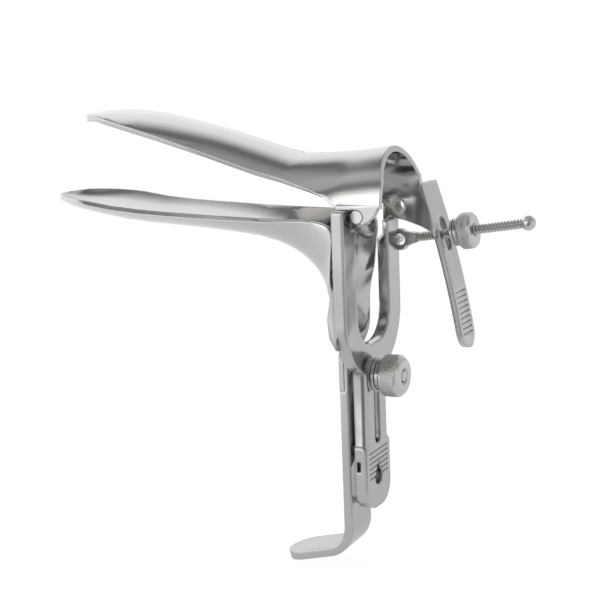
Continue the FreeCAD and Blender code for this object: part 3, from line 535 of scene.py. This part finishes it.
def upper_tip(verts):
    def thinned(z, share):
        if share < UPPER_DROP_FROM:
            return z
        lowered = z - UPPER_TIP_DROP * ((share - UPPER_DROP_FROM) / (1.0 - UPPER_DROP_FROM)) ** 2
        return max(lowered, squeezed(lowered, UPPER_TIP_FLOOR))

    draw_in_tip(verts, UPPER_TIP_RUN, UPPER_TIP_SHIFT, thinned)


def lower_tip(verts):
    def thinned(z, share):
        return min(z, squeezed(z, LOWER_TIP_TOP - LOWER_TIP_SAG * share**2))

    draw_in_tip(verts, LOWER_TIP_RUN, LOWER_TIP_SHIFT, thinned)


def sleeve_tree(name, knurled):
    """A sleeve about Z whose wall carries a helical thread or a diamond knurl."""
    tree = GeometryTree(
        name,
        (
            ("Radius", "NodeSocketFloat"),
            ("Length", "NodeSocketFloat"),
            ("Depth", "NodeSocketFloat"),
            ("Spacing", "NodeSocketFloat"),
            ("Around", "NodeSocketInt"),
            ("Along", "NodeSocketInt"),
            ("Starts", "NodeSocketFloat"),
            ("Steel", "NodeSocketMaterial"),
        ),
    )
    length = tree.size("Length")
    grid = tree.node(
        "GeometryNodeMeshGrid",
        Size_X=1.0,
        Size_Y=1.0,
        Vertices_X=tree.size("Around"),
        Vertices_Y=tree.size("Along"),
    )
    place = tree.node("GeometryNodeInputPosition")
    aside = tree.node("ShaderNodeSeparateXYZ", output="X", Vector=place)
    turn = aside + 0.5
    rise = aside.other("Y") + 0.5
    height = rise * length
    rows = height / tree.size("Spacing")
    count = turn * tree.size("Starts")
    if knurled:
        relief = (rows + count).tooth().least((rows - count).tooth())
    else:
        relief = (rows - turn).tooth()
    end = (rise.least(1.0 - rise) * length / tree.size("Spacing") * 2.0).least(1.0)
    radius = tree.size("Radius") - tree.size("Depth") * (1.0 - relief * end)
    angle = turn * (2 * math.pi)
    wrapped = tree.node(
        "ShaderNodeCombineXYZ",
        X=radius * tree.maths("COSINE", angle),
        Y=radius * tree.maths("SINE", angle),
        Z=height,
    )
    sleeve = tree.node("GeometryNodeSetPosition", Geometry=grid, Position=wrapped)
    merged = tree.node("GeometryNodeMergeByDistance", Geometry=sleeve, Distance=SEAM_WELD)
    real = tree.node("GeometryNodeRealizeInstances", Geometry=merged)
    dressed = tree.node("GeometryNodeSetMaterial", Geometry=real, Material=tree.size("Steel"))
    tree.close("NodeGroupOutput", "Geometry", dressed)
    return tree.tree


def sleeve_mesh(kind, sizes):
    """The evaluated sleeve as a plain bmesh about Z from 0 to its length."""
    blank = bpy.data.objects.new("blank", bpy.data.meshes.new("blank"))
    bpy.context.scene.collection.objects.link(blank)
    modifier = blank.modifiers.new("sleeve", "NODES")
    modifier.node_group = sleeves[kind]
    values = {**sizes, "Steel": materials["turned"]}
    for item in modifier.node_group.interface.items_tree:
        if item.in_out == "INPUT":
            modifier[item.identifier] = values[item.name]
    bpy.context.view_layer.update()
    seen = bpy.context.evaluated_depsgraph_get()
    mesh = bpy.data.meshes.new_from_object(blank.evaluated_get(seen))
    bpy.data.objects.remove(blank)
    work = bmesh.new()
    work.from_mesh(mesh)
    bpy.data.meshes.remove(mesh)
    return work


def join_rows(work, rows):
    """Adds quads between rows of vertices, each of which closes round its axis."""
    for lower, upper in zip(rows, rows[1:]):
        for step in range(len(lower)):
            after = (step + 1) % len(lower)
            work.faces.new((lower[step], lower[after], upper[after], upper[step]))


def turned_rings(work, rings, around=TURNED_AROUND):
    """Adds a wall through rings of radius and height to a bmesh, closed round the axis."""
    rows = []
    for radius, height in rings:
        row = []
        for step in range(around):
            turn = 2 * math.pi * step / around
            row.append(work.verts.new((radius * math.cos(turn), radius * math.sin(turn), height)))
        rows.append(row)
    join_rows(work, rows)


def stand_on(work, start, axis):
    """Turns a bmesh about Z so that Z points along an axis, and moves it to a start point."""
    turn = axis.to_track_quat("Z", "Y").to_matrix().to_4x4()
    work.transform(Matrix.Translation(start) @ turn)


def finish_mesh(work, name):
    """A smooth mesh with sharp corners from a bmesh, which it uses up."""
    bmesh.ops.remove_doubles(work, verts=work.verts, dist=TURNED_WELD)
    bmesh.ops.recalc_face_normals(work, faces=work.faces)
    mesh = bpy.data.meshes.new(name)
    work.to_mesh(mesh)
    work.free()
    mesh.shade_smooth()
    mesh.set_sharp_from_angle(angle=math.radians(TURNED_SHARP_DEGREES))
    return mesh


def grip(node, axis, start, neck_length, neck_radius, bore, rear_bevel):
    """A knurled grip with its neck, bevels and bore, in the place of its node."""
    screws = bpy.context.scene.speculum_screws
    low, high = along(node, axis, start)
    radius = widest(node, axis, start)
    length = high - low
    bevel = 0.5 * MM
    neck_bevel = 0.2 * MM
    rim = 0.15 * MM
    sink = 0.5 * MM
    sink_mouth = 0.7 * MM
    sink_foot = 0.1 * MM
    wall = length - neck_length - bevel - rear_bevel
    starts = round(2 * math.pi * radius / screws.knurl)
    around = STEPS_PER_DIAMOND * starts
    work = sleeve_mesh(
        "knurl",
        {
            "Radius": radius,
            "Length": wall,
            "Depth": screws.knurl_depth,
            "Spacing": screws.knurl,
            "Around": around + 1,
            "Along": STEPS_PER_DIAMOND * max(2, round(wall / screws.knurl)) + 1,
            "Starts": float(starts),
        },
    )
    bmesh.ops.translate(work, verts=work.verts, vec=(0, 0, neck_length + bevel))
    foot = radius - screws.knurl_depth
    front = [
        (bore, 0),
        (neck_radius - neck_bevel, 0),
        (neck_radius, neck_bevel),
        (neck_radius, neck_length),
        (foot - bevel, neck_length),
        (foot, neck_length + bevel),
    ]
    rear = [
        (foot, length - rear_bevel),
        (foot - rear_bevel * 0.8, length - rim),
        (foot - rear_bevel * 1.1, length),
        (bore + sink_mouth, length),
        (bore + sink_foot, length - sink),
        (bore, length - sink),
        (bore, 0),
    ]
    turned_rings(work, front, around)
    turned_rings(work, rear, around)
    stand_on(work, start + axis * low, axis)
    name = node + "_knurled"
    link(finish_mesh(work, name), name, body_of(node), materials["turned"], node)


def threaded(node, name, axis, start, radius, plain, length, tip):
    """A threaded shaft: a plain neck, the thread and a rounded end."""
    screws = bpy.context.scene.speculum_screws
    turns = (length - plain) / screws.pitch
    work = sleeve_mesh(
        "thread",
        {
            "Radius": radius,
            "Length": length - plain,
            "Depth": screws.thread_depth,
            "Spacing": screws.pitch,
            "Around": THREAD_AROUND + 1,
            "Along": round(turns * STEPS_PER_TURN) + 1,
            "Starts": 1.0,
        },
    )
    bmesh.ops.translate(work, verts=work.verts, vec=(0, 0, plain))
    root = radius - screws.thread_depth
    neck = [(0.0, 0), (radius, 0), (radius, plain - root * RUN_OUT), (root, plain)]
    end = [
        (root, length),
        (root * END_SHOULDER, length + tip / 2),
        (root * END_FLAT, length + tip),
        (0.0, length + tip),
    ]
    turned_rings(work, neck, THREAD_AROUND)
    turned_rings(work, end, THREAD_AROUND)
    stand_on(work, start, axis)
    link(finish_mesh(work, name), name, body_of(node), materials["turned"], node)


def open_sleeve(node, name):
    """A pin about Y as an open sleeve, which light passes through."""
    low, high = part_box(node)
    start = Vector(((low.x + high.x) / 2, low.y, (low.z + high.z) / 2))
    radius = (high.z - low.z) / 2
    length = high.y - low.y
    wall = 0.35 * MM
    round_off = 0.12 * MM
    work = bmesh.new()
    turned_rings(
        work,
        [
            (radius - wall, 0),
            (radius - round_off, 0),
            (radius, round_off),
            (radius, length - round_off),
            (radius - round_off, length),
            (radius - wall, length),
            (radius - wall, 0),
        ],
    )
    stand_on(work, start, PIN_AXIS)
    link(finish_mesh(work, name), name, body_of(node), materials["turned"], node)


def eye_outline(reach, tip, radius):
    """Turns about the eye's middle, each with the outline's distance: a drop that ends on the rod."""
    turns = [2 * math.pi * step / EYE_AROUND - math.pi for step in range(EYE_AROUND)]
    corner = math.atan2(tip, reach)
    meet = corner + math.acos(radius / math.hypot(reach, tip))
    turns = sorted(turns + [corner, -corner, meet, -meet])
    normal = Vector((math.cos(meet), math.sin(meet)))
    outline = []
    for turn in turns:
        aside = abs(turn)
        if aside <= corner:
            wide = reach / math.cos(aside)
        elif aside < meet:
            line = radius / (normal.x * math.cos(aside) + normal.y * math.sin(aside))
            wide = line - EYE_SAG * math.sin(math.pi * (aside - corner) / (meet - corner))
        else:
            wide = radius
        outline.append((turn, wide))
    return outline


def rod_eye(reach, tip, radius, bore, thick, round_off):
    """The rod's eye: a flat ring about Y that tapers like a drop into the round of the rod."""
    outline = eye_outline(reach, tip, radius)
    half = thick / 2
    work = bmesh.new()
    rows = []
    # A row without a radius of its own follows the outline.
    for inner, across in (
        (bore + round_off, -half),
        (None, -half),
        (None, round_off - half),
        (None, half - round_off),
        (None, half),
        (bore + round_off, half),
        (bore, half - round_off),
        (bore, round_off - half),
    ):
        row = []
        for turn, wide in outline:
            out = inner or (wide - round_off if abs(across) == half else wide)
            row.append(work.verts.new((out * math.cos(turn), across, out * math.sin(turn))))
        rows.append(row)
    join_rows(work, rows + rows[:1])
    lean = math.atan2(ROD_AXIS.z, ROD_AXIS.x)
    work.transform(Matrix.Translation(EYE_MIDDLE) @ Matrix.Rotation(-lean, 4, "Y"))
    link(finish_mesh(work, "rod_eye"), "rod_eye", "rod", materials["turned"])


class SPECULUM_OT_finishes(bpy.types.Operator):
    """Makes the steels of the instrument and the two relief trees"""

    bl_idname = "speculum.finishes"
    bl_label = "Steel finishes"

    def execute(self, context):
        colours = context.scene.speculum_steel
        materials["polished"] = steel(
            "polished steel",
            colours.polished,
            roughness=0.11,
            grain=0.05,
            grain_axis=0,
            wave=0.04,
            round_off=0.45 * MM,
        )
        materials["satin"] = steel(
            "satin steel",
            colours.satin,
            roughness=0.13,
            grain=0.08,
            grain_axis=2,
            wave=0.7,
            round_off=1.5 * MM,
        )
        materials["lever"] = steel(
            "lever steel",
            colours.polished,
            roughness=0.15,
            grain=0.06,
            grain_axis=2,
            wave=0.5,
            round_off=1.7 * MM,
        )
        materials["turned"] = steel(
            "turned steel",
            colours.turned,
            roughness=0.28,
            grain=0.08,
            grain_axis=1,
            wave=0.02,
            round_off=0.1 * MM,
        )
        sleeves["knurl"] = sleeve_tree("knurled sleeve", True)
        sleeves["thread"] = sleeve_tree("threaded sleeve", False)
        return {"FINISHED"}


class SPECULUM_OT_blades(bpy.types.Operator):
    """Makes the two polished troughs"""

    bl_idname = "speculum.blades"
    bl_label = "Blades"

    def execute(self, context):
        edge = context.scene.speculum_steel.edge
        polished = materials["polished"]
        rounded_copy("lower_blade", "lower_trough", polished, edge, lower_tip)
        rounded_copy("upper_blade", "upper_trough", polished, edge * 0.8, upper_tip)
        return {"FINISHED"}


class SPECULUM_OT_yoke(bpy.types.Operator):
    """Makes the yoke, its guide block and its pins"""

    bl_idname = "speculum.yoke"
    bl_label = "Yoke"

    def execute(self, context):
        edge = context.scene.speculum_steel.edge
        rounded_copy("yoke_frame", "yoke", materials["satin"], edge * 1.6)
        rounded_copy("guide_block", "guide", materials["satin"], edge)
        rounded_copy("near_hinge_pin", "near_pin", materials["turned"], edge * 0.5)
        open_sleeve("far_hinge_pin", "far_pin_sleeve")
        open_sleeve("rod_pivot_pin", "rod_pivot_sleeve")
        return {"FINISHED"}


class SPECULUM_OT_handle(bpy.types.Operator):
    """Makes the handle bar"""

    bl_idname = "speculum.handle"
    bl_label = "Handle bar"

    def execute(self, context):
        edge = context.scene.speculum_steel.edge
        rounded_copy("handle_bar", "handle", materials["satin"], edge * 0.8)
        return {"FINISHED"}


class SPECULUM_OT_lever(bpy.types.Operator):
    """Makes the thumb lever"""

    bl_idname = "speculum.lever"
    bl_label = "Thumb lever"

    def execute(self, context):
        edge = context.scene.speculum_steel.edge
        rounded_copy("thumb_lever", "lever", materials["lever"], edge * 1.8)
        return {"FINISHED"}


class SPECULUM_OT_clamp(bpy.types.Operator):
    """Makes the threaded stud, the washer and the knurled knob of the clamp"""

    bl_idname = "speculum.clamp"
    bl_label = "Clamp"

    def execute(self, context):
        start = Vector((0.0, STUD_MIDDLE.y, STUD_MIDDLE.z))
        low, high = along("clamp_stud", STUD_AXIS, start)
        radius = widest("clamp_stud", STUD_AXIS, start)
        tip = 0.35 * MM
        threaded(
            "clamp_stud",
            "threaded_stud",
            STUD_AXIS,
            start + STUD_AXIS * low,
            radius,
            plain=3.2 * MM,
            length=high - low - tip,
            tip=tip,
        )
        grip(
            "clamp_knob",
            STUD_AXIS,
            start,
            neck_length=1.7 * MM,
            neck_radius=4.85 * MM,
            bore=radius + RUNNING_GAP,
            rear_bevel=1.2 * MM,
        )
        rounded_copy("clamp_washer", "washer_behind_yoke", materials["turned"], WASHER_EDGE)
        return {"FINISHED"}


class SPECULUM_OT_rod(bpy.types.Operator):
    """Makes the threaded rod with its eye, the ball, the washer and the knurled nut"""

    bl_idname = "speculum.rod"
    bl_label = "Spreading rod"

    def execute(self, context):
        ball_low, _ = along("rod_end_ball", ROD_AXIS, EYE_MIDDLE)
        radius = widest("nut_washer", ROD_AXIS, EYE_MIDDLE) / WASHER_ACROSS * ROD_ACROSS
        eye_reach = 3.2 * MM
        into_ball = 0.6 * MM
        threaded(
            "spread_rod",
            "threaded_rod",
            ROD_AXIS,
            EYE_MIDDLE + ROD_AXIS * eye_reach,
            radius,
            plain=2.6 * MM,
            length=ball_low + into_ball - eye_reach,
            tip=0.2 * MM,
        )
        rod_eye(
            reach=6.0 * MM,
            tip=radius * 0.94,
            radius=3.5 * MM,
            bore=1.9 * MM,
            thick=3.0 * MM,
            round_off=0.4 * MM,
        )
        rounded_copy("rod_end_ball", "ball", materials["turned"], 0.0)
        rounded_copy("nut_washer", "washer_by_nut", materials["turned"], WASHER_EDGE)
        grip(
            "spread_nut",
            ROD_AXIS,
            EYE_MIDDLE,
            neck_length=1.5 * MM,
            neck_radius=4.3 * MM,
            bore=radius + RUNNING_GAP,
            rear_bevel=0.6 * MM,
        )
        return {"FINISHED"}


class SPECULUM_OT_stage(bpy.types.Operator):
    """Makes the pale floor, the soft lights and the camera"""

    bl_idname = "speculum.stage"
    bl_label = "Stage"

    def execute(self, context):
        make_floor(context)
        make_world(context)
        make_lights(context)
        make_camera(context)
        context.scene.view_settings.view_transform = "Standard"
        return {"FINISHED"}


def camera_back(studio):
    """The direction from the target to the camera."""
    turn = math.radians(studio.azimuth)
    lift = math.radians(studio.elevation)
    level = math.cos(lift)
    return Vector((math.sin(turn) * level, -math.cos(turn) * level, math.sin(lift)))


def room_axes(studio):
    """Level directions from the object to the camera and to the camera's right."""
    ahead = camera_back(studio)
    ahead.z = 0.0
    ahead.normalize()
    return ahead, Vector((-ahead.y, ahead.x, 0.0))


def make_floor(context):
    """A floor that is white to the camera and glows softly, less on the camera's side, in gloss."""
    studio = context.scene.speculum_studio
    height = cad_bounds[0][2] - studio.floor_drop
    mesh = bpy.data.meshes.new("floor")
    work = bmesh.new()
    bmesh.ops.create_grid(work, x_segments=1, y_segments=1, size=FLOOR_HALF)
    work.transform(Matrix.Translation((0, 0, height)))
    work.to_mesh(mesh)
    work.free()
    floor = bpy.data.objects.new("floor", mesh)
    context.scene.collection.objects.link(floor)
    material = bpy.data.materials.new("pale floor")
    tree = shader_tree(material)
    seen = tree.node("ShaderNodeLightPath", output="Is Camera Ray")
    glossy = seen.other("Is Glossy Ray")
    paint = tree.node("ShaderNodeBsdfDiffuse", Color=FLOOR_PAINT)
    away = tree.node("ShaderNodeTexCoord", output="Object")
    ahead, right = room_axes(studio)
    flat = tree.node("ShaderNodeVectorMath", settings={"operation": "NORMALIZE"}, Vector=away)
    reach = tree.node(
        "ShaderNodeVectorMath", output="Value", settings={"operation": "LENGTH"}, Vector=away
    )
    far = (reach / SHEEN_REACH).least(1.0)
    gain = SHEEN_FAR_GAIN - direction_part(tree, flat, right) * SHEEN_RIGHT_LOSS
    sheen = (SHEEN_NEAR + far * gain) * ramp(tree, direction_part(tree, flat, ahead), DIM_SECTOR)
    glow = tree.node(
        "ShaderNodeEmission",
        Color=WHITE,
        Strength=seen * FLOOR_GLOW + (1.0 - seen) * sheen,
    )
    mixed = mixed_shader(tree, seen * FLOOR_GLOW_SHARE + glossy * SHEEN_SHARE, paint, glow)
    tree.close("ShaderNodeOutputMaterial", "Surface", mixed)
    mesh.materials.append(material)


def make_world(context):
    """White to the camera; for light and gloss a tent whose panels have dark seams between them."""
    world = bpy.data.worlds.new("studio")
    context.scene.world = world
    tree = shader_tree(world)
    place = tree.node("ShaderNodeTexCoord", output="Generated")
    height = tree.node("ShaderNodeSeparateXYZ", output="Z", Vector=place) * 0.5 + 0.5
    ahead, right = room_axes(context.scene.speculum_studio)
    facing = direction_part(tree, place, ahead)
    front = ramp(tree, height, FRONT_PANELS)
    back = ramp(tree, height, BACK_PANELS)
    side = ramp(tree, facing * 0.5 + 0.5, CAMERA_SIDE)
    fading = 1.0 - direction_part(tree, place, right) * ROOM_RIGHT_LOSS
    room = (back + (front - back) * side) * fading * ROOM_POWER * ramp(tree, facing, DIM_SECTOR)
    seen = tree.node("ShaderNodeLightPath", output="Is Camera Ray")
    plain = tree.node("ShaderNodeBackground", Color=WHITE, Strength=1.0)
    soft = tree.node("ShaderNodeBackground", Color=WARM_WHITE, Strength=room)
    tree.close("ShaderNodeOutputWorld", "Surface", mixed_shader(tree, seen, soft, plain))


def make_lights(context):
    target = Vector(context.scene.speculum_studio.target)
    for name, place, size, power in LAMPS:
        lamp = bpy.data.lights.new(name, "AREA")
        lamp.shape = "SQUARE"
        lamp.size = size
        lamp.energy = power
        light = bpy.data.objects.new(name, lamp)
        light.location = Vector(place) + target
        light.rotation_euler = (-Vector(place)).to_track_quat("-Z", "Y").to_euler()
        context.scene.collection.objects.link(light)


def make_camera(context):
    studio = context.scene.speculum_studio
    turn = math.radians(studio.azimuth)
    roll = math.radians(studio.roll)
    back = camera_back(studio)
    side = Vector((math.cos(turn), math.sin(turn), 0.0))
    top = back.cross(side)
    right = side * math.cos(roll) + top * math.sin(roll)
    up = top * math.cos(roll) - side * math.sin(roll)
    camera = bpy.data.objects.new("camera", bpy.data.cameras.new("camera"))
    camera.data.sensor_width = 36.0
    camera.data.lens = studio.lens
    camera.data.clip_start = 0.01
    camera.data.clip_end = 20.0
    spot = Vector(studio.target) + back * studio.distance
    camera.matrix_world = Matrix(
        (
            (right.x, up.x, back.x, spot.x),
            (right.y, up.y, back.y, spot.y),
            (right.z, up.z, back.z, spot.z),
            (0.0, 0.0, 0.0, 1.0),
        )
    )
    context.scene.collection.objects.link(camera)
    context.scene.camera = camera


class SPECULUM_PT_panel(bpy.types.Panel):
    """Sizes, colours and steps of the speculum"""

    bl_idname = "SPECULUM_PT_panel"
    bl_label = "Speculum"
    bl_space_type = "VIEW_3D"
    bl_region_type = "UI"
    bl_category = "Speculum"

    def draw(self, context):
        for group in ("speculum_steel", "speculum_screws", "speculum_studio"):
            settings = getattr(context.scene, group)
            for name in settings.__annotations__:
                self.layout.prop(settings, name)
        for step in STEPS:
            self.layout.operator(step.bl_idname)


STEPS = (
    SPECULUM_OT_finishes,
    SPECULUM_OT_blades,
    SPECULUM_OT_yoke,
    SPECULUM_OT_handle,
    SPECULUM_OT_lever,
    SPECULUM_OT_clamp,
    SPECULUM_OT_rod,
    SPECULUM_OT_stage,
)
CLASSES = (SpeculumSteel, SpeculumScrews, SpeculumStudio, *STEPS, SPECULUM_PT_panel)


def register():
    for item in CLASSES:
        bpy.utils.register_class(item)
    bpy.types.Scene.speculum_steel = PointerProperty(type=SpeculumSteel)
    bpy.types.Scene.speculum_screws = PointerProperty(type=SpeculumScrews)
    bpy.types.Scene.speculum_studio = PointerProperty(type=SpeculumStudio)


def unregister():
    del bpy.types.Scene.speculum_steel
    del bpy.types.Scene.speculum_screws
    del bpy.types.Scene.speculum_studio
    for item in reversed(CLASSES):
        bpy.utils.unregister_class(item)


def main():
    register()
    bpy.ops.speculum.finishes()
    bpy.ops.speculum.blades()
    bpy.ops.speculum.yoke()
    bpy.ops.speculum.handle()
    bpy.ops.speculum.lever()
    bpy.ops.speculum.clamp()
    bpy.ops.speculum.rod()
    bpy.ops.speculum.stage()


if __name__ == "__main__":
    main()
